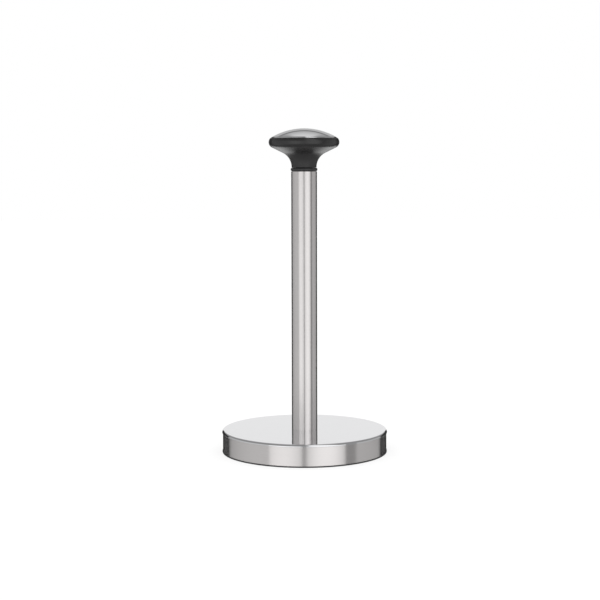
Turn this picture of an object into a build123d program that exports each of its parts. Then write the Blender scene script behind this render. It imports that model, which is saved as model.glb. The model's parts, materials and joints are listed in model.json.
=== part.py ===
"""Free-standing paper towel holder: a weighted round base, a steel pole and a screw-off knob.

Millimetres, +Z up. The origin is the centre of the foot ring's underside, on the pole's axis.
"""
from build123d import *
from math import acos, asin, cos, degrees, radians, sin, tan
import os

# ---- base ----
BASE_RADIUS = 88.9
BASE_HEIGHT = 24.2
FOOT_HEIGHT = 2.6
FOOT_STEP = 1.4
FOOT_PROUD = 0.5
FOOT_WIDTH = 16.0
FOOT_ROUND = 0.5
SHEET = 0.8
LIP_OVERHANG = 0.75
LIP_HEIGHT = 2.8
LIP_ROUND = 2.3
LIP_EDGE_ROUND = 0.3
BAND_FLANGE = 5.0
BALLAST_RADIUS = 86.0
BALLAST_THICKNESS = 7.0
BALLAST_CHAMFER = 1.5
PLATE_THICKNESS = 1.2
PLATE_ACCESS_RADIUS = 11.0

# ---- hexagons: share of the corners that is turned off ----
HEXAGON_TURN_OFF = 0.6

# ---- plate screws, M4 pan head ----
SCREW_COUNT = 4
SCREW_CIRCLE_RADIUS = 60.0
SCREW_RADIUS = 2.0
SCREW_LENGTH = 8.0
SCREW_HEAD_RADIUS = 4.0
SCREW_HEAD_HEIGHT = 1.9
SCREW_HEAD_DOMING = 0.6
SCREW_TIP_CHAMFER = 0.4
SCREW_BOSS_RADIUS = 6.5
PILOT_EXTRA = 1.0
RECESS_LENGTH = 4.4
RECESS_WIDTH = 0.9
RECESS_DEPTH = 1.1

# ---- anchor bolt, M8 hexagon head, and its washers ----
BOLT_RADIUS = 4.0
BOLT_LENGTH = 30.0
BOLT_HEAD_FLATS = 13.0
BOLT_HEAD_HEIGHT = 5.3
BOLT_TIP_CHAMFER = 0.8
BOLT_END_ROOM = 1.5
FLAT_WASHER_RADIUS = 8.0
FLAT_WASHER_THICKNESS = 1.6
SPRING_WASHER_RADIUS = 7.4
SPRING_WASHER_THICKNESS = 2.0
SPRING_WASHER_SPLIT = 1.2
SPRING_WASHER_TILT = 25.0
BOLT_HOLE_CLEARANCE = 0.3

# ---- pole ----
POLE_RADIUS = 13.85
POLE_WALL = 1.2
POLE_TOP = 303.2
POLE_EDGE_BREAK = 0.15
GASKET_THICKNESS = 0.5
LOWER_PLUG_LENGTH = 22.0
UPPER_PLUG_LENGTH = 24.0
PLUG_CHAMFER = 1.0

# ---- screw joint between pole and knob, trapezoidal thread 10 x 3 ----
STUD_RADIUS = 5.0
STUD_CHAMFER = 0.8
STUD_ENGAGED = 16.0
RUNNING_CLEARANCE = 0.05
SEAT_GAP = 0.1
SOCKET_DEPTH = 18.0

# ---- knob, heights above the pole's top ----
COLLAR_RADIUS = 14.3
COLLAR_HEIGHT = 3.8
COLLAR_ROUND = 1.7
NECK_RADIUS = 13.4
NECK_TOP = 4.8
NECK_FILLET = 16.5
UNDERSIDE_ANGLE = 26.0
KNOB_RADIUS = 37.8
NOSE_RADIUS = 6.5
GRIP_THICKNESS = 2.6
GRIP_FOOT_ROUND = 0.6
RIM_LAND = 0.6
RIM_BREAK = 0.2
CORE_WALL = 2.2
CORE_RIM_DROP = 1.2
CAP_RADIUS = 35.3
CAP_EDGE_ANGLE = 30.8
CAP_EDGE_ROUND = 1.6
CAP_GAP = 0.2
CAP_PROUD = 0.75
CAP_SKIRT = 3.3
HUB_RADIUS = 11.0
HUB_TOP = 22.0
POCKET_FLOOR = 17.5
RIB_COUNT = 6
RIB_THICKNESS = 2.0
STUD_TOP = 33.5
NUT_FLATS = 17.0
NUT_HEIGHT = 8.0
NUT_ROOM_RADIUS = 12.75
STUD_WASHER_RADIUS = 10.0
STUD_WASHER_THICKNESS = 2.0

# ---- worked out from the sizes above ----
TOP_PLATE_UNDER = BASE_HEIGHT - SHEET
BALLAST_BOTTOM = TOP_PLATE_UNDER - BALLAST_THICKNESS
PLATE_TOP = FOOT_HEIGHT + PLATE_THICKNESS
BAND_INNER = BASE_RADIUS - SHEET
PLUG_BOTTOM = BASE_HEIGHT + GASKET_THICKNESS
POLE_INNER = POLE_RADIUS - POLE_WALL
BOLT_HEAD_TOP = BALLAST_BOTTOM - FLAT_WASHER_THICKNESS - SPRING_WASHER_THICKNESS
COLLAR_BOTTOM = POLE_TOP + SEAT_GAP
KNOB_BOTTOM = COLLAR_BOTTOM + COLLAR_HEIGHT + SEAT_GAP

UNDER = radians(UNDERSIDE_ANGLE)
CAP_EDGE = radians(CAP_EDGE_ANGLE)
NECK_FILLET_CENTRE = (NECK_RADIUS + NECK_FILLET, POLE_TOP + NECK_TOP)
NOSE_CENTRE_RADIUS = KNOB_RADIUS - NOSE_RADIUS
FILLET_END_RADIUS = NECK_FILLET_CENTRE[0] - NECK_FILLET * sin(UNDER)
FILLET_END_Z = NECK_FILLET_CENTRE[1] + NECK_FILLET * cos(UNDER)
NOSE_START_RADIUS = NOSE_CENTRE_RADIUS + NOSE_RADIUS * sin(UNDER)
NOSE_START_Z = FILLET_END_Z + (NOSE_START_RADIUS - FILLET_END_RADIUS) * tan(UNDER)
NOSE_CENTRE = (NOSE_CENTRE_RADIUS, NOSE_START_Z + NOSE_RADIUS * cos(UNDER))
RIM_RADIUS = CAP_RADIUS + CAP_GAP
RIM_ANGLE = degrees(acos((RIM_RADIUS + RIM_LAND - NOSE_CENTRE[0]) / NOSE_RADIUS))
RIM_Z = NOSE_CENTRE[1] + NOSE_RADIUS * sin(radians(RIM_ANGLE))
CAP_EDGE_Z = RIM_Z + CAP_PROUD
DECK_Z = CAP_EDGE_Z - CAP_SKIRT
DECK_ANGLE = degrees(asin((DECK_Z - NOSE_CENTRE[1]) / (NOSE_RADIUS - GRIP_THICKNESS)))
HOLLOW_TOP = NOSE_CENTRE[1] + NOSE_RADIUS - GRIP_THICKNESS - CORE_WALL
DOME_RADIUS = CAP_RADIUS / sin(CAP_EDGE)


def turned(*edges):
    """Solid turned about Z from a closed outline whose points are (radius, height)."""
    outline = make_face([Plane.XZ * edge for edge in edges])
    return revolve(outline, axis=Axis.Z)


def disc(radius, bottom, top):
    """Solid disc about Z."""
    blank = Cylinder(radius, top - bottom, align=(Align.CENTER, Align.CENTER, Align.MIN))
    return Pos(0, 0, bottom) * blank


def ring(inner, outer, bottom, top):
    """Flat ring or tube about Z."""
    return disc(outer, bottom, top) - disc(inner, bottom, top)


def hexagon(flats, bottom, top):
    """Hexagonal prism about Z with its corners lightly turned off at both ends."""
    prism = extrude(Pos(0, 0, bottom) * RegularPolygon(flats / 2, 6, major_radius=False), top - bottom)
    corner = flats / 2 / cos(radians(30))
    turn_off = (corner - flats / 2) * HEXAGON_TURN_OFF
    blank = chamfer(disc(corner, bottom, top).edges().filter_by(GeomType.CIRCLE), turn_off)
    return prism & blank


# ---- base ----
def top_plate():
    """Polished round plate with a turned-down lip that laps over the side band."""
    lip_bottom = BASE_HEIGHT - LIP_HEIGHT
    outer = BASE_RADIUS + LIP_OVERHANG
    plate = disc(outer, lip_bottom, BASE_HEIGHT)
    plate = fillet(plate.edges().group_by(Axis.Z)[-1], LIP_ROUND)
    plate = fillet(plate.edges().group_by(Axis.Z)[0], LIP_EDGE_ROUND)
    hollow = disc(BASE_RADIUS, lip_bottom, TOP_PLATE_UNDER)
    hollow = fillet(hollow.edges().group_by(Axis.Z)[-1], LIP_ROUND - SHEET)
    plate -= hollow
    return plate - disc(BOLT_RADIUS + BOLT_HOLE_CLEARANCE, lip_bottom, BASE_HEIGHT)


def side_band():
    """Brushed band round the base; its top edge turns in under the top plate."""
    corner = LIP_ROUND - SHEET
    band = disc(BASE_RADIUS, FOOT_STEP, TOP_PLATE_UNDER)
    band = fillet(band.edges().group_by(Axis.Z)[-1], corner)
    band -= disc(BAND_INNER, FOOT_STEP, TOP_PLATE_UNDER - SHEET)
    return band - disc(BAND_INNER - BAND_FLANGE, FOOT_STEP, TOP_PLATE_UNDER)


def ballast_weight():
    """Cast disc, stepped to clamp the band's flange, with a boss for each plate screw."""
    flange_seat = TOP_PLATE_UNDER - SHEET
    body = disc(BALLAST_RADIUS, BALLAST_BOTTOM, flange_seat)
    body = chamfer(body.edges().group_by(Axis.Z)[0], BALLAST_CHAMFER)
    body += disc(BAND_INNER - BAND_FLANGE, flange_seat, TOP_PLATE_UNDER)
    boss = disc(SCREW_BOSS_RADIUS, PLATE_TOP, BALLAST_BOTTOM)
    pilot = disc(SCREW_RADIUS, PLATE_TOP, FOOT_HEIGHT + SCREW_LENGTH + PILOT_EXTRA)
    spots = PolarLocations(SCREW_CIRCLE_RADIUS, SCREW_COUNT)
    body += [spot * boss for spot in spots]
    body -= [spot * pilot for spot in spots]
    return body - disc(BOLT_RADIUS + BOLT_HOLE_CLEARANCE, BALLAST_BOTTOM, TOP_PLATE_UNDER)


def base_plate():
    """Flat plate that closes the base, open in the middle for the anchor bolt's head."""
    plate = ring(PLATE_ACCESS_RADIUS, BAND_INNER, FOOT_HEIGHT, PLATE_TOP)
    hole = disc(SCREW_RADIUS + BOLT_HOLE_CLEARANCE, FOOT_HEIGHT, PLATE_TOP)
    return plate - [spot * hole for spot in PolarLocations(SCREW_CIRCLE_RADIUS, SCREW_COUNT)]


def plate_screw():
    """One pan-head screw, head down, with a cross recess."""
    head_bottom = FOOT_HEIGHT - SCREW_HEAD_HEIGHT
    head = disc(SCREW_HEAD_RADIUS, head_bottom, FOOT_HEIGHT)
    head = fillet(head.edges().group_by(Axis.Z)[0], SCREW_HEAD_HEIGHT * SCREW_HEAD_DOMING)
    shank = disc(SCREW_RADIUS, FOOT_HEIGHT, FOOT_HEIGHT + SCREW_LENGTH)
    shank = chamfer(shank.edges().group_by(Axis.Z)[-1], SCREW_TIP_CHAMFER)
    slot = Box(RECESS_LENGTH, RECESS_WIDTH, RECESS_DEPTH, align=(Align.CENTER, Align.CENTER, Align.MIN))
    cross = [Pos(0, 0, head_bottom) * Rot(0, 0, turn) * slot for turn in (0, 90)]
    return head + shank - cross


def plate_screws():
    """The identical screws as one group of separate solids."""
    return Compound([spot * plate_screw() for spot in PolarLocations(SCREW_CIRCLE_RADIUS, SCREW_COUNT)])


def foot_ring():
    """Non-slip ring under the rim; a step in it takes the band's lower edge."""
    outer = BASE_RADIUS + FOOT_PROUD
    foot = ring(outer - FOOT_WIDTH, outer, 0, FOOT_STEP)
    foot = fillet(foot.edges().group_by(Axis.Z)[0], FOOT_ROUND)
    return foot + ring(outer - FOOT_WIDTH, BAND_INNER, FOOT_STEP, FOOT_HEIGHT)


def anchor_bolt():
    """Hexagon-head bolt, head down, that pulls the pole, top plate, band and ballast together."""
    head = hexagon(BOLT_HEAD_FLATS, BOLT_HEAD_TOP - BOLT_HEAD_HEIGHT, BOLT_HEAD_TOP)
    shank = disc(BOLT_RADIUS, BOLT_HEAD_TOP, BOLT_HEAD_TOP + BOLT_LENGTH)
    shank = chamfer(shank.edges().group_by(Axis.Z)[-1], BOLT_TIP_CHAMFER)
    return head + shank


def flat_washer():
    """Flat washer against the ballast."""
    inner = BOLT_RADIUS + BOLT_HOLE_CLEARANCE
    return ring(inner, FLAT_WASHER_RADIUS, BALLAST_BOTTOM - FLAT_WASHER_THICKNESS, BALLAST_BOTTOM)


def spring_washer():
    """Split spring washer, pressed flat under the bolt's head."""
    inner = BOLT_RADIUS + BOLT_HOLE_CLEARANCE
    washer = ring(inner, SPRING_WASHER_RADIUS, BOLT_HEAD_TOP, BOLT_HEAD_TOP + SPRING_WASHER_THICKNESS)
    reach = SPRING_WASHER_RADIUS * 2
    split = Box(reach, SPRING_WASHER_SPLIT, reach, align=(Align.MIN, Align.CENTER, Align.CENTER))
    return washer - Pos(0, 0, BOLT_HEAD_TOP) * Rot(SPRING_WASHER_TILT, 0, 0) * split


# ---- pole ----
def pole_gasket():
    """Ring let into the pole's foot, squeezed between the lower plug and the top plate."""
    return ring(BOLT_RADIUS + BOLT_HOLE_CLEARANCE, POLE_INNER, BASE_HEIGHT, PLUG_BOTTOM)


def post_tube():
    """Brushed tube with its outer edges broken."""
    tube = disc(POLE_RADIUS, BASE_HEIGHT, POLE_TOP)
    tube = chamfer(tube.edges().filter_by(GeomType.CIRCLE), POLE_EDGE_BREAK)
    return tube - disc(POLE_INNER, BASE_HEIGHT, POLE_TOP)


def lower_plug():
    """Plug fixed in the pole's foot and tapped for the anchor bolt."""
    top = PLUG_BOTTOM + LOWER_PLUG_LENGTH
    plug = disc(POLE_INNER, PLUG_BOTTOM, top)
    plug = chamfer(plug.edges().group_by(Axis.Z)[-1], PLUG_CHAMFER)
    return plug - disc(BOLT_RADIUS, PLUG_BOTTOM, BOLT_HEAD_TOP + BOLT_LENGTH + BOLT_END_ROOM)


def upper_plug():
    """Plug fixed in the pole's head, with the socket that the knob's stud screws into."""
    plug = disc(POLE_INNER, POLE_TOP - UPPER_PLUG_LENGTH, POLE_TOP)
    plug = chamfer(plug.edges().group_by(Axis.Z)[0], PLUG_CHAMFER)
    socket = disc(STUD_RADIUS + RUNNING_CLEARANCE, POLE_TOP - SOCKET_DEPTH, POLE_TOP)
    return plug - socket


# ---- knob ----
def collar_ring():
    """Thrust ring with a rounded bead, captive on the stud between the pole and the knob."""
    top = COLLAR_BOTTOM + COLLAR_HEIGHT
    collar = ring(STUD_RADIUS + RUNNING_CLEARANCE, COLLAR_RADIUS, COLLAR_BOTTOM, top)
    circles = collar.edges().filter_by(GeomType.CIRCLE)
    return fillet(circles.filter_by(lambda edge: edge.radius > NECK_RADIUS), COLLAR_ROUND)


def flared_side(inset, last_heading):
    """The knob's flared side from its foot to its nose, as edges set in by inset."""
    neck = NECK_RADIUS - inset
    fillet_radius = NECK_FILLET + inset
    nose = NOSE_RADIUS - inset
    foot = Line((neck, KNOB_BOTTOM), (neck, NECK_FILLET_CENTRE[1]))
    flare = CenterArc(NECK_FILLET_CENTRE, fillet_radius, 180, -(90 - UNDERSIDE_ANGLE))
    nose_arc = CenterArc(NOSE_CENTRE, nose, UNDERSIDE_ANGLE - 90, 90 - UNDERSIDE_ANGLE + last_heading)
    return [foot, flare, Line(flare @ 1, nose_arc @ 0), nose_arc]


def soft_grip():
    """Soft black skin moulded round the core, from the neck to the cap's edge."""
    outer = flared_side(0, RIM_ANGLE)
    inner = flared_side(GRIP_THICKNESS, DECK_ANGLE)
    nose_end = outer[-1] @ 1
    ledge_end = inner[-1] @ 1
    rim = (RIM_RADIUS, nose_end.Y)
    top = Polyline((nose_end.X, nose_end.Y), rim, (RIM_RADIUS, DECK_Z), (ledge_end.X, DECK_Z))
    foot = Line((NECK_RADIUS - GRIP_THICKNESS, KNOB_BOTTOM), (NECK_RADIUS, KNOB_BOTTOM))
    grip = turned(*outer, *top.edges(), *inner, foot)
    foot_circles = grip.edges().filter_by(GeomType.CIRCLE).group_by(Axis.Z)[0]
    grip = fillet(foot_circles.sort_by(lambda edge: edge.radius)[-1], GRIP_FOOT_ROUND)
    rim_circles = grip.edges().filter_by(GeomType.CIRCLE).group_by(Axis.Z)[-1]
    return chamfer(rim_circles.sort_by(lambda edge: edge.radius)[0], RIM_BREAK)


def knob_core():
    """Stiff moulded core: a ribbed cup with a hub for the stud and a rim that holds the cap."""
    boss = CAP_RADIUS - SHEET
    boss_top = CAP_EDGE_Z - CORE_RIM_DROP
    side = flared_side(GRIP_THICKNESS, DECK_ANGLE)
    ledge_end = side[-1] @ 1
    top = Polyline((ledge_end.X, DECK_Z), (boss, DECK_Z), (boss, boss_top), (0, boss_top), (0, KNOB_BOTTOM))
    foot = Line((0, KNOB_BOTTOM), (NECK_RADIUS - GRIP_THICKNESS, KNOB_BOTTOM))
    blank = turned(*side, *top.edges(), foot)

    hollow_side = flared_side(GRIP_THICKNESS + CORE_WALL, 90)
    hollow_top = Polyline((NOSE_CENTRE[0], HOLLOW_TOP), (0, HOLLOW_TOP), (0, KNOB_BOTTOM))
    hollow_foot = Line((0, KNOB_BOTTOM), (NECK_RADIUS - GRIP_THICKNESS - CORE_WALL, KNOB_BOTTOM))
    hollow = turned(*hollow_side, *hollow_top.edges(), hollow_foot)
    hollow -= disc(KNOB_RADIUS, KNOB_BOTTOM, POLE_TOP + POCKET_FLOOR)
    hollow += disc(boss - CORE_WALL, HOLLOW_TOP, boss_top)
    hollow -= disc(HUB_RADIUS, KNOB_BOTTOM, POLE_TOP + HUB_TOP)

    rib_low = POLE_TOP + POCKET_FLOOR
    rib_height = DECK_Z - rib_low
    rib = Box(KNOB_RADIUS, RIB_THICKNESS, rib_height, align=(Align.MIN, Align.CENTER, Align.MIN))
    rib_hole = disc(NUT_ROOM_RADIUS, rib_low, DECK_Z)
    ribs = [Pos(0, 0, rib_low) * Rot(0, 0, 360 / RIB_COUNT * count) * rib for count in range(RIB_COUNT)]
    hollow -= [one - rib_hole for one in ribs]
    return blank - hollow - disc(STUD_RADIUS, KNOB_BOTTOM, boss_top)


def knob_stud():
    """Threaded stud, drawn plain, fixed in the core and screwed into the pole's socket."""
    stud = disc(STUD_RADIUS, POLE_TOP - STUD_ENGAGED, POLE_TOP + STUD_TOP)
    return chamfer(stud.edges().filter_by(GeomType.CIRCLE), STUD_CHAMFER)


def stud_washer():
    """Washer on top of the core's hub."""
    bottom = POLE_TOP + HUB_TOP
    return ring(STUD_RADIUS + BOLT_HOLE_CLEARANCE, STUD_WASHER_RADIUS, bottom, bottom + STUD_WASHER_THICKNESS)


def stud_nut():
    """Hexagon nut that holds the stud in the core."""
    bottom = POLE_TOP + HUB_TOP + STUD_WASHER_THICKNESS
    return hexagon(NUT_FLATS, bottom, bottom + NUT_HEIGHT) - disc(STUD_RADIUS, bottom, bottom + NUT_HEIGHT)


def dome_arc(inset):
    """The dome's outline from the cap's edge to its crown, set in by inset."""
    centre = (0, CAP_EDGE_Z - DOME_RADIUS * cos(CAP_EDGE))
    return CenterArc(centre, DOME_RADIUS - inset, 90 - CAP_EDGE_ANGLE, CAP_EDGE_ANGLE)


def steel_cap():
    """Polished pressed dome with a turned-down skirt that grips the core's rim."""
    skirt_inner = CAP_RADIUS - SHEET
    outer = dome_arc(0)
    inner = dome_arc(SHEET)
    inner_edge = inner @ 0
    skirt = Polyline((inner_edge.X, inner_edge.Y), (skirt_inner, inner_edge.Y - SHEET),
                     (skirt_inner, DECK_Z), (CAP_RADIUS, DECK_Z), (CAP_RADIUS, CAP_EDGE_Z))
    cap = turned(outer, Line(outer @ 1, inner @ 1), inner, *skirt.edges())
    rim = cap.edges().filter_by(GeomType.CIRCLE)
    corner = rim.filter_by(lambda edge: abs(edge.radius - CAP_RADIUS) < 0.01).sort_by(Axis.Z)[-1]
    return fillet(corner, CAP_EDGE_ROUND)


PIECES = (
    top_plate, side_band, ballast_weight, base_plate, plate_screws, foot_ring,
    anchor_bolt, flat_washer, spring_washer,
    pole_gasket, post_tube, lower_plug, upper_plug,
    collar_ring, soft_grip, knob_core, knob_stud, stud_washer, stud_nut, steel_cap,
)

os.makedirs("parts", exist_ok=True)
for piece in PIECES:
    export_step(piece(), f"parts/{piece.__name__}.step")
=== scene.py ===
"""Looks of the free-standing paper towel holder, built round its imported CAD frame. Metres, +Z up."""
import json
from math import cos, hypot, pi, radians, sin

import bmesh
import bpy
from mathutils import Matrix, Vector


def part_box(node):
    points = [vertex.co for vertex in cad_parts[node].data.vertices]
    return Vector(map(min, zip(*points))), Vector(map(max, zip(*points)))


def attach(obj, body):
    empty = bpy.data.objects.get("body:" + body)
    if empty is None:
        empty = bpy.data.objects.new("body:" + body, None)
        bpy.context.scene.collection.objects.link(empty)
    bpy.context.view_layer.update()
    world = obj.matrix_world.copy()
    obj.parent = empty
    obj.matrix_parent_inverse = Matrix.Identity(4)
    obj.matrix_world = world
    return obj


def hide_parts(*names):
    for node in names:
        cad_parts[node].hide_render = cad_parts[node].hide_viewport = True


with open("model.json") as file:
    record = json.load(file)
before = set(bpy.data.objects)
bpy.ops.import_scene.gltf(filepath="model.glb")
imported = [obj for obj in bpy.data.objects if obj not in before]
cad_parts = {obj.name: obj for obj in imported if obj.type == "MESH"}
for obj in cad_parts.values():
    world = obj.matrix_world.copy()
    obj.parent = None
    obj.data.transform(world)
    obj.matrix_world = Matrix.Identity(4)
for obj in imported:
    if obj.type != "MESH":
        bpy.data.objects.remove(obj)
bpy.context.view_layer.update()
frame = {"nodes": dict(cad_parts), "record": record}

MM = 0.001

# ---- studio ----
CAMERA_DISTANCE = 1.536
CAMERA_HEIGHT = 0.315
CAMERA_PITCH = 5.58
CAMERA_YAW = 0.175
CAMERA_ROLL = -0.14
CAMERA_LENS = 85.8
CAMERA_SENSOR = 36
CAMERA_REACH = 50
FLOOR_SIZE = 12.0
FLOOR_GREY = (0.3, 0.3, 0.3, 1)
FLOOR_GLOW = 0.72
EVEN_LIGHT = 1.1
WHITE = (1, 1, 1, 1)

# ---- turned pieces, millimetres ----
SHEET = 0.8
LIP_ROUND = 2.3
LIP_EDGE_ROUND = 0.3
BAND_FLANGE = 5.0
BOLT_HOLE_RADIUS = 4.3
POLE_WALL = 1.2
POLE_EDGE_ROUND = 0.15
FOOT_WIDTH = 16.0
FOOT_STEP = 1.4
FOOT_ROUND = 0.5
GROOVE_COUNT = 5
GROOVE_WIDTH = 1.2
GROOVE_DEPTH = 0.4
THREAD_PITCH = 3.0
THREAD_DEPTH = 1.5
THREAD_CHAMFER = 0.8
WELD = 0.001
SUPPORT = 0.15
LONG_RUN = 1.5
# The thread's corners as shares of its pitch, and the turns that are cut off at each end.
CREST_END = 0.32
ROOT_START = 0.5
ROOT_END = 0.82
SPARE_TURNS = 2
# Corners of more than this many degrees stay sharp.
SHARP_ANGLE = 35


# ---- node helpers ----
def node_of(tree, kind, **inputs):
    """A new node with its inputs set by name or by _number; a socket given as a value is linked."""
    node = tree.nodes.new(kind)
    for name, value in inputs.items():
        socket = node.inputs[int(name[1:])] if name[0] == "_" else node.inputs[name.replace("_", " ")]
        if isinstance(value, bpy.types.NodeSocket):
            tree.links.new(value, socket)
        else:
            socket.default_value = value
    return node


def maths(tree, operation, *values):
    """The result of a Math node."""
    node = node_of(tree, "ShaderNodeMath", **{f"_{count}": value for count, value in enumerate(values)})
    node.operation = operation
    return node.outputs[0]


def rise(tree, value, low, high):
    """A smooth step from 0 at low to 1 at high; low above high makes it fall."""
    node = node_of(tree, "ShaderNodeMapRange", Value=value, From_Min=low, From_Max=high)
    node.interpolation_type = "SMOOTHSTEP"
    return node.outputs["Result"]


def product(tree, *factors):
    """All the factors multiplied together."""
    result = factors[0]
    for factor in factors[1:]:
        result = maths(tree, "MULTIPLY", result, factor)
    return result


def mixed(tree, factor, first, second):
    """A number that goes from first to second with the factor."""
    return node_of(tree, "ShaderNodeMix", _0=factor, _2=first, _3=second).outputs[0]


def mixed_colour(tree, factor, first, second):
    """A colour that goes from first to second with the factor."""
    node = tree.nodes.new("ShaderNodeMix")
    node.data_type = "RGBA"
    for socket, value in zip((node.inputs[0], node.inputs[6], node.inputs[7]), (factor, first, second)):
        if isinstance(value, bpy.types.NodeSocket):
            tree.links.new(value, socket)
        else:
            socket.default_value = value
    return node.outputs[2]


# ---- studio ----
# Each panel: where it starts and ends in degrees, its brightness at both ends, and the extra in its middle.
ROUND_THE_HOLDER = (
    (-130, -51, 0.4, 0.6, 0.05),   # grey wall at the left
    (-51, -3, 0.88, 0.76, 0.24),   # left soft box
    (-3, 2, 0.35, 0.35, 0.0),      # gap between the soft boxes
    (2, 59, 0.72, 0.75, 0.33),     # right soft box
    (59, 76, 0.28, 0.28, 0.0),     # black flag
    (76, 130, 0.5, 0.42, 0.0),     # grey wall at the right
)
UP_THE_BACK = (
    (-20, 14, 0.86, 0.86, 0.0),    # white board
    (14, 30, 0.52, 0.5, 0.0),      # wall above it
    (36, 60, 0.42, 0.74, 0.0),     # lit cloth
    (60, 75, 0.7, 0.25, 0.0),      # where the cloth hangs away
)
PANEL_EDGE = 1.5
DARK = 0.03
OVERHEAD = 0.28
BACKDROP = 0.2
SWEEP = 1.4
UNDER_SWEEP = 0.3
# Soft edges in degrees: each part of the studio is absent at the first angle and full at the second.
SWEEP_SIDE = (146, 156)
SWEEP_TOP = (-14, -20)
UNDER_SWEEP_TOP = (-36, -46)
RIGHT_BOX_LEFT = (4, 9)
RIGHT_BOX_RIGHT = (52, 46)
RIGHT_BOX_TOP = (86, 78)
CEILING_FOOT = (15, 22)
COLUMN_SIDE = (160, 168)
COLUMN_FOOT = (12, 16)
BOARD_RIM = (16, 13)


def panels(tree, angle, background, layout):
    """The brightness along an angle: panels with soft edges in front of a background. The extra is a
    parabola, and 4 * share * (1 - share) is 1 in the panel's middle."""
    light = background
    for start, end, first, last, extra in layout:
        along = node_of(tree, "ShaderNodeMapRange", Value=angle, From_Min=start, From_Max=end)
        share = along.outputs["Result"]
        bulge = product(tree, share, maths(tree, "SUBTRACT", 1.0, share), 4 * extra)
        level = maths(tree, "ADD", mixed(tree, share, first, last), bulge)
        inside = product(tree, rise(tree, angle, start - PANEL_EDGE, start + PANEL_EDGE),
                         rise(tree, angle, end + PANEL_EDGE, end - PANEL_EDGE))
        light = mixed(tree, inside, light, level)
    return light


def studio_lights(tree):
    """How bright the studio is in each direction: two soft boxes in front with a gap between them, grey
    walls at the sides, a bright sweep low behind, and a dim ceiling that the right soft box rises into.
    Straight behind is a round white board, with a column of wall and cloth above it."""
    way = node_of(tree, "ShaderNodeTexCoord").outputs["Generated"]
    x, y, z = node_of(tree, "ShaderNodeSeparateXYZ", Vector=way).outputs
    turn = maths(tree, "DEGREES", maths(tree, "ARCTAN2", x, maths(tree, "MULTIPLY", y, -1.0)))
    height = maths(tree, "DEGREES", maths(tree, "ARCSINE", z))
    spread = maths(tree, "ABSOLUTE", turn)
    behind = maths(tree, "DEGREES", maths(tree, "ARCCOSINE", y))

    light = panels(tree, turn, DARK, ROUND_THE_HOLDER)
    sweep = product(tree, rise(tree, spread, *SWEEP_SIDE), rise(tree, height, *SWEEP_TOP))
    light = mixed(tree, sweep, light, SWEEP)
    light = mixed(tree, rise(tree, height, *UNDER_SWEEP_TOP), light, UNDER_SWEEP)
    right_box = product(tree, rise(tree, turn, *RIGHT_BOX_LEFT), rise(tree, turn, *RIGHT_BOX_RIGHT),
                        rise(tree, height, *RIGHT_BOX_TOP))
    ceiling = product(tree, rise(tree, height, *CEILING_FOOT), maths(tree, "SUBTRACT", 1.0, right_box))
    light = mixed(tree, ceiling, light, OVERHEAD)
    column = product(tree, rise(tree, spread, *COLUMN_SIDE), rise(tree, height, *COLUMN_FOOT))
    board = rise(tree, behind, *BOARD_RIM)
    middle = maths(tree, "MAXIMUM", column, board)
    return mixed(tree, middle, light, panels(tree, height, BACKDROP, UP_THE_BACK))


def studio_world():
    """White to the camera, even light on matt surfaces, and the soft boxes in glossy ones."""
    world = bpy.data.worlds.new("studio")
    bpy.context.scene.world = world
    world.use_nodes = True
    tree = world.node_tree
    tree.nodes.clear()
    path = node_of(tree, "ShaderNodeLightPath")
    boxes = node_of(tree, "ShaderNodeBackground", Color=studio_lights(tree))
    even = node_of(tree, "ShaderNodeBackground", Color=WHITE, Strength=EVEN_LIGHT)
    plain = node_of(tree, "ShaderNodeBackground", Color=WHITE)
    choice = node_of(tree, "ShaderNodeMixShader", _0=path.outputs["Is Glossy Ray"], _1=even.outputs[0],
                     _2=boxes.outputs[0])
    choice = node_of(tree, "ShaderNodeMixShader", _0=path.outputs["Is Camera Ray"], _1=choice.outputs[0],
                     _2=plain.outputs[0])
    node_of(tree, "ShaderNodeOutputWorld", Surface=choice.outputs[0])


def studio_camera():
    """The camera, level with the knob's foot and looking a little down."""
    data = bpy.data.cameras.new("camera")
    data.lens = CAMERA_LENS
    data.sensor_width = CAMERA_SENSOR
    data.clip_end = CAMERA_REACH
    camera = bpy.data.objects.new("camera", data)
    bpy.context.scene.collection.objects.link(camera)
    turn = Matrix.Rotation(radians(CAMERA_YAW), 4, "Z")
    tilt = Matrix.Rotation(radians(90 - CAMERA_PITCH), 4, "X")
    roll = Matrix.Rotation(radians(CAMERA_ROLL), 4, "Z")
    camera.matrix_world = Matrix.Translation((0, -CAMERA_DISTANCE, CAMERA_HEIGHT)) @ turn @ tilt @ roll
    bpy.context.scene.camera = camera


def studio_floor():
    """A plain white floor, partly a light of its own so that it shows only a faint shade."""
    bpy.ops.mesh.primitive_plane_add(size=FLOOR_SIZE)
    plane = bpy.context.object
    plane.name = "floor"
    material, tree, shader = principled("floor", Base_Color=FLOOR_GREY, Roughness=1.0,
                                        Emission_Color=WHITE, Emission_Strength=FLOOR_GLOW)
    shader.inputs["Specular IOR Level"].default_value = 0.0
    plane.data.materials.append(material)
    plane.visible_glossy = False


# ---- materials ----
NOISE_LOW = 0.25
NOISE_HIGH = 0.75
# The grip wears smooth between these distances from the axis, in metres.
WORN_FROM_TO = (0.016, 0.026)
NECK_ROUGHNESS = 0.5
RIM_ROUGHNESS = 0.28


def principled(name, **inputs):
    """A new material with its tree and its principled shader."""
    material = bpy.data.materials.new(name)
    material.use_nodes = True
    tree = material.node_tree
    tree.nodes.clear()
    shader = node_of(tree, "ShaderNodeBsdfPrincipled", **inputs)
    node_of(tree, "ShaderNodeOutputMaterial", Surface=shader.outputs[0])
    return material, tree, shader


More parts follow.
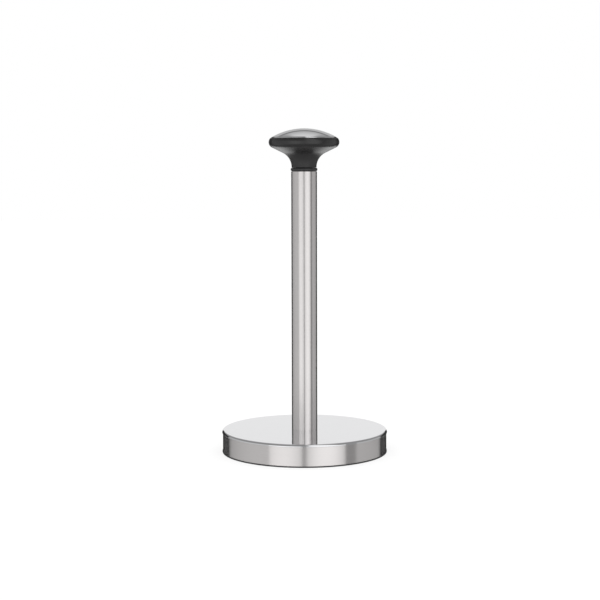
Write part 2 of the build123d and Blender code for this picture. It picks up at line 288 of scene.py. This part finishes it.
def noise(tree, vector, scale, detail=2.0, roughness=0.5):
    """The level of a noise texture, about 0.5."""
    return node_of(tree, "ShaderNodeTexNoise", Vector=vector, Scale=scale, Detail=detail,
                   Roughness=roughness).outputs["Fac"]


def place(tree):
    """Where the surface is, in the piece's own frame."""
    return node_of(tree, "ShaderNodeTexCoord").outputs["Object"]


def from_axis(tree, x, y):
    """Distance from the Z axis."""
    return maths(tree, "SQRT", maths(tree, "ADD", product(tree, x, x), product(tree, y, y)))


def grain(tree, streak, line, detail=3.0):
    """Noise drawn out round Z: streaks of that length, in lines of that width, in metres."""
    x, y, z = node_of(tree, "ShaderNodeSeparateXYZ", Vector=place(tree)).outputs
    across = maths(tree, "DIVIDE", maths(tree, "SUBTRACT", from_axis(tree, x, y), z), line)
    vector = node_of(tree, "ShaderNodeCombineXYZ", X=maths(tree, "DIVIDE", x, streak),
                     Y=maths(tree, "DIVIDE", y, streak), Z=across).outputs[0]
    return noise(tree, vector, scale=1.0, detail=detail, roughness=0.6)


def vary(tree, factor, middle, swing):
    """A number that swings round its middle as a noise goes between its usual lowest and highest levels."""
    node = node_of(tree, "ShaderNodeMapRange", Value=factor, From_Min=NOISE_LOW, From_Max=NOISE_HIGH,
                   To_Min=middle - swing, To_Max=middle + swing)
    return node.outputs["Result"]


def clouded(tree, factor, first, second):
    """A colour that clouds from first to second with a noise."""
    return mixed_colour(tree, vary(tree, factor, middle=0.5, swing=0.5), first, second)


def bump(tree, shader, height, distance):
    """Relief of the given depth in metres."""
    node = node_of(tree, "ShaderNodeBump", Height=height, Strength=1.0, Distance=distance)
    tree.links.new(node.outputs[0], shader.inputs["Normal"])


def feed(tree, shader, **sockets):
    """Links sockets to the shader's inputs."""
    for name, socket in sockets.items():
        tree.links.new(socket, shader.inputs[name.replace("_", " ")])


def brushed_steel():
    """Stainless steel brushed round the part, with fine lines, longer streaks and faint clouding."""
    material, tree, shader = principled("brushed_steel", Metallic=1.0, Anisotropic=0.95,
                                        Anisotropic_Rotation=0.25)
    tangent = node_of(tree, "ShaderNodeTangent")
    tangent.direction_type = "RADIAL"
    tangent.axis = "Z"
    lines = grain(tree, streak=0.012, line=0.00016)
    streaks = grain(tree, streak=0.05, line=0.0012)
    clouds = noise(tree, place(tree), scale=22.0, detail=3.0)
    tone = mixed(tree, 0.5, streaks, clouds)
    colour = clouded(tree, tone, (0.77, 0.742, 0.736, 1), (0.83, 0.808, 0.803, 1))
    roughness = vary(tree, mixed(tree, 0.4, streaks, lines), middle=0.25, swing=0.035)
    feed(tree, shader, Base_Color=colour, Roughness=roughness, Tangent=tangent.outputs[0])
    bump(tree, shader, mixed(tree, 0.35, lines, streaks), distance=0.0000022)
    return material


def polished_steel():
    """Polished stainless steel with hair-fine turning marks and faint wiping marks."""
    material, tree, shader = principled("polished_steel", Metallic=1.0)
    lines = grain(tree, streak=0.03, line=0.00022)
    wipes = noise(tree, place(tree), scale=38.0, detail=4.0, roughness=0.55)
    colour = clouded(tree, wipes, (0.855, 0.855, 0.868, 1), (0.885, 0.885, 0.9, 1))
    roughness = maths(tree, "ADD", vary(tree, wipes, middle=0.075, swing=0.02),
                      vary(tree, lines, middle=0.0, swing=0.012))
    feed(tree, shader, Base_Color=colour, Roughness=roughness)
    bump(tree, shader, lines, distance=0.0000002)
    return material


def zinc_plate():
    """Bright zinc plating with a faint spangle."""
    material, tree, shader = principled("plated_steel", Metallic=1.0)
    cells = node_of(tree, "ShaderNodeTexVoronoi", Vector=place(tree), Scale=700.0)
    spangle = node_of(tree, "ShaderNodeSeparateColor", Color=cells.outputs["Color"]).outputs[0]
    haze = noise(tree, place(tree), scale=90.0, detail=4.0)
    colour = mixed_colour(tree, spangle, (0.56, 0.58, 0.6, 1), (0.68, 0.7, 0.71, 1))
    roughness = maths(tree, "ADD", vary(tree, haze, middle=0.34, swing=0.06),
                      maths(tree, "MULTIPLY", spangle, 0.06))
    feed(tree, shader, Base_Color=colour, Roughness=roughness)
    bump(tree, shader, noise(tree, place(tree), scale=1500.0, detail=3.0), distance=0.000006)
    return material


def cast_iron():
    """Rough grey iron under thin black paint."""
    material, tree, shader = principled("cast_iron", Metallic=0.0)
    sand = noise(tree, place(tree), scale=900.0, detail=5.0, roughness=0.65)
    patches = noise(tree, place(tree), scale=60.0, detail=3.0)
    colour = clouded(tree, patches, (0.018, 0.018, 0.019, 1), (0.045, 0.043, 0.042, 1))
    feed(tree, shader, Base_Color=colour, Roughness=vary(tree, sand, middle=0.62, swing=0.12))
    bump(tree, shader, mixed(tree, 0.3, sand, patches), distance=0.00025)
    return material


def foot_rubber():
    """Dull black rubber with a moulded skin and faint dusty patches."""
    material, tree, shader = principled("foot_rubber", IOR=1.5)
    skin = noise(tree, place(tree), scale=1700.0, detail=3.0, roughness=0.6)
    patches = noise(tree, place(tree), scale=45.0, detail=4.0, roughness=0.6)
    colour = clouded(tree, patches, (0.02, 0.02, 0.021, 1), (0.034, 0.034, 0.035, 1))
    roughness = maths(tree, "ADD", vary(tree, patches, middle=0.62, swing=0.03),
                      vary(tree, skin, middle=0.0, swing=0.03))
    feed(tree, shader, Base_Color=colour, Roughness=roughness)
    bump(tree, shader, skin, distance=0.00003)
    return material


def grip_rubber():
    """Soft black rubber, dull at the neck and worn smoother towards the rim, where it is held."""
    material, tree, shader = principled("grip_rubber", IOR=1.55)
    x, y, _ = node_of(tree, "ShaderNodeSeparateXYZ", Vector=place(tree)).outputs
    worn = rise(tree, from_axis(tree, x, y), *WORN_FROM_TO)
    skin = noise(tree, place(tree), scale=2500.0, detail=3.0, roughness=0.6)
    patches = noise(tree, place(tree), scale=45.0, detail=4.0, roughness=0.6)
    colour = clouded(tree, patches, (0.012, 0.0115, 0.012, 1), (0.017, 0.0165, 0.017, 1))
    wear = mixed(tree, worn, NECK_ROUGHNESS, RIM_ROUGHNESS)
    wear = maths(tree, "ADD", wear, vary(tree, patches, middle=0.0, swing=0.03))
    roughness = maths(tree, "ADD", wear, vary(tree, skin, middle=0.0, swing=0.03))
    feed(tree, shader, Base_Color=colour, Roughness=roughness)
    bump(tree, shader, skin, distance=0.000004)
    return material


def black_plastic():
    """Moulded black plastic with an eroded-tool texture."""
    material, tree, shader = principled("black_plastic", IOR=1.5)
    cells = node_of(tree, "ShaderNodeTexVoronoi", Vector=place(tree), Scale=2600.0)
    haze = noise(tree, place(tree), scale=70.0, detail=3.0)
    colour = clouded(tree, haze, (0.016, 0.016, 0.017, 1), (0.026, 0.026, 0.027, 1))
    feed(tree, shader, Base_Color=colour, Roughness=vary(tree, haze, middle=0.36, swing=0.04))
    bump(tree, shader, cells.outputs["Distance"], distance=0.00001)
    return material


# ---- meshes ----
def arc(centre, radius, start, end, steps=10):
    """Points of an arc from start to end degrees, both ends included."""
    angles = [radians(start + (end - start) * step / steps) for step in range(steps + 1)]
    return [(centre[0] + radius * cos(angle), centre[1] + radius * sin(angle)) for angle in angles]


def supported(outline):
    """The outline with extra points near both ends of its long runs, so that they shade flat."""
    points = []
    for (radius, height), (next_radius, next_height) in zip(outline, outline[1:] + outline[:1]):
        points.append((radius, height))
        across = next_radius - radius
        up = next_height - height
        length = hypot(across, up)
        if length > LONG_RUN:
            for share in (SUPPORT / length, 1 - SUPPORT / length):
                points.append((radius + across * share, height + up * share))
    return points


def turned(outline, segments):
    """A mesh turned about Z from a closed outline of (radius, height) in millimetres."""
    mesh = bmesh.new()
    rims = []
    for radius, height in supported(outline):
        angles = [2 * pi * count / segments for count in range(segments)]
        spots = [(radius * MM * cos(angle), radius * MM * sin(angle), height * MM) for angle in angles]
        rims.append([mesh.verts.new(spot) for spot in spots])
    for rim, next_rim in zip(rims, rims[1:] + rims[:1]):
        for count in range(segments):
            after = (count + 1) % segments
            mesh.faces.new((rim[count], rim[after], next_rim[after], next_rim[count]))
    return mesh


def piece(name, mesh, material, body, replaced):
    """A finished piece from a bmesh: smooth except at its sharp corners, riding on its body."""
    bmesh.ops.recalc_face_normals(mesh, faces=mesh.faces)
    data = bpy.data.meshes.new(name)
    mesh.to_mesh(data)
    mesh.free()
    data.shade_smooth()
    data.set_sharp_from_angle(angle=radians(SHARP_ANGLE))
    data.materials.append(material)
    thing = bpy.data.objects.new(name, data)
    bpy.context.scene.collection.objects.link(thing)
    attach(thing, body)
    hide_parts(replaced)
    return thing


def size_of(node):
    """A round CAD node's outer radius and its lowest and highest points, in millimetres."""
    low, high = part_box(node)
    return high.x / MM, low.z / MM, high.z / MM


def top_plate_outline():
    """Flat plate with a rounded, turned-down lip."""
    outer, bottom, top = size_of("top_plate")
    inner = size_of("side_band")[0]
    under = top - SHEET
    inner_round = LIP_ROUND - SHEET
    edge = LIP_EDGE_ROUND
    return ([(BOLT_HOLE_RADIUS, under)] + arc((inner - inner_round, under - inner_round), inner_round, 90, 0)
            + [(inner, bottom)] + arc((outer - edge, bottom + edge), edge, -90, 0, 4)
            + arc((outer - LIP_ROUND, top - LIP_ROUND), LIP_ROUND, 0, 90, 16) + [(BOLT_HOLE_RADIUS, top)])


def side_band_outline():
    """Band with its top edge turned in."""
    outer, bottom, top = size_of("side_band")
    corner = LIP_ROUND - SHEET
    inner = outer - SHEET
    flange = inner - BAND_FLANGE
    return ([(inner, bottom), (outer, bottom)] + arc((outer - corner, top - corner), corner, 0, 90)
            + [(flange, top), (flange, top - SHEET), (inner, top - SHEET)])


def post_tube_outline():
    """Tube with its outer edges rounded."""
    outer, bottom, top = size_of("post_tube")
    inner = outer - POLE_WALL
    edge = POLE_EDGE_ROUND
    return ([(inner, bottom)] + arc((outer - edge, bottom + edge), edge, -90, 0, 5)
            + arc((outer - edge, top - edge), edge, 0, 90, 5) + [(inner, top)])


def foot_ring_outline():
    """Stepped ring with grooves round its underside."""
    outer, bottom, top = size_of("foot_ring")
    inner = outer - FOOT_WIDTH
    spacing = FOOT_WIDTH / (GROOVE_COUNT + 1)
    outline = [(inner, bottom)]
    for count in range(GROOVE_COUNT):
        middle = inner + spacing * (count + 1)
        half = GROOVE_WIDTH / 2
        outline += [(middle - half, bottom), (middle - half / 2, bottom + GROOVE_DEPTH),
                    (middle + half / 2, bottom + GROOVE_DEPTH), (middle + half, bottom)]
    outline += arc((outer - FOOT_ROUND, bottom + FOOT_ROUND), FOOT_ROUND, -90, 0, 6)
    step_radius = size_of("side_band")[0] - SHEET
    return outline + [(outer, FOOT_STEP), (step_radius, FOOT_STEP), (step_radius, top), (inner, top)]


def threaded_rod(outer, bottom, top, segments=72):
    """A rod with a right-handed trapezoidal thread and chamfered ends. Its corners are a share of the
    pitch and a radius; it is made too long by the spare turns, then cut square at both ends."""
    mesh = bmesh.new()
    root = outer - THREAD_DEPTH
    corners = ((0, outer), (CREST_END, outer), (ROOT_START, root), (ROOT_END, root))
    turns = int((top - bottom) / THREAD_PITCH) + 2 * SPARE_TURNS
    columns = []
    for count in range(segments + 1):
        angle = 2 * pi * count / segments
        lead = bottom + THREAD_PITCH * (count / segments - SPARE_TURNS)
        column = [((turn + share) * THREAD_PITCH + lead, radius)
                  for turn in range(turns) for share, radius in corners]
        columns.append([mesh.verts.new((radius * MM * cos(angle), radius * MM * sin(angle), height * MM))
                        for height, radius in column])
    for column, next_column in zip(columns, columns[1:]):
        for count in range(len(column) - 1):
            mesh.faces.new((column[count], next_column[count], next_column[count + 1], column[count + 1]))
    bmesh.ops.remove_doubles(mesh, verts=mesh.verts, dist=WELD * MM)
    for height, side in ((bottom, -1), (top, 1)):
        for cut, clear in ((height, True), (height - side * THREAD_CHAMFER, False)):
            everything = mesh.verts[:] + mesh.edges[:] + mesh.faces[:]
            bmesh.ops.bisect_plane(mesh, geom=everything, plane_co=(0, 0, cut * MM), plane_no=(0, 0, side),
                                   clear_outer=clear)
        rim = [edge for edge in mesh.edges if all(abs(v.co.z / MM - height) < WELD for v in edge.verts)]
        bmesh.ops.edgeloop_fill(mesh, edges=rim)
        for vertex in mesh.verts:
            depth = abs(vertex.co.z / MM - height)
            limit = (outer - THREAD_CHAMFER + depth) * MM
            radius = hypot(vertex.co.x, vertex.co.y)
            if depth < THREAD_CHAMFER and radius > limit:
                vertex.co.x *= limit / radius
                vertex.co.y *= limit / radius
    return mesh


studio_world()
studio_camera()
studio_floor()

MATERIALS = {
    "brushed_steel": brushed_steel(),
    "polished_steel": polished_steel(),
    "plated_steel": zinc_plate(),
    "cast_iron": cast_iron(),
    "foot_rubber": foot_rubber(),
    "grip_rubber": grip_rubber(),
    "black_plastic": black_plastic(),
}
SLOTS = {part["node"]: part["material_slot"] for part in frame["record"]["subparts"]}
for name, node in frame["nodes"].items():
    node.data.materials.clear()
    node.data.materials.append(MATERIALS[SLOTS[name]])

TURNED = (
    ("top_plate", top_plate_outline, 360),
    ("side_band", side_band_outline, 360),
    ("foot_ring", foot_ring_outline, 360),
    ("post_tube", post_tube_outline, 180),
)
for node, outline, segments in TURNED:
    piece(node + "_turned", turned(outline(), segments), MATERIALS[SLOTS[node]], "stand", node)
stud = threaded_rod(*size_of("knob_stud"))
piece("knob_stud_threaded", stud, MATERIALS["plated_steel"], "knob", "knob_stud")

bpy.context.scene.view_settings.view_transform = "Standard"
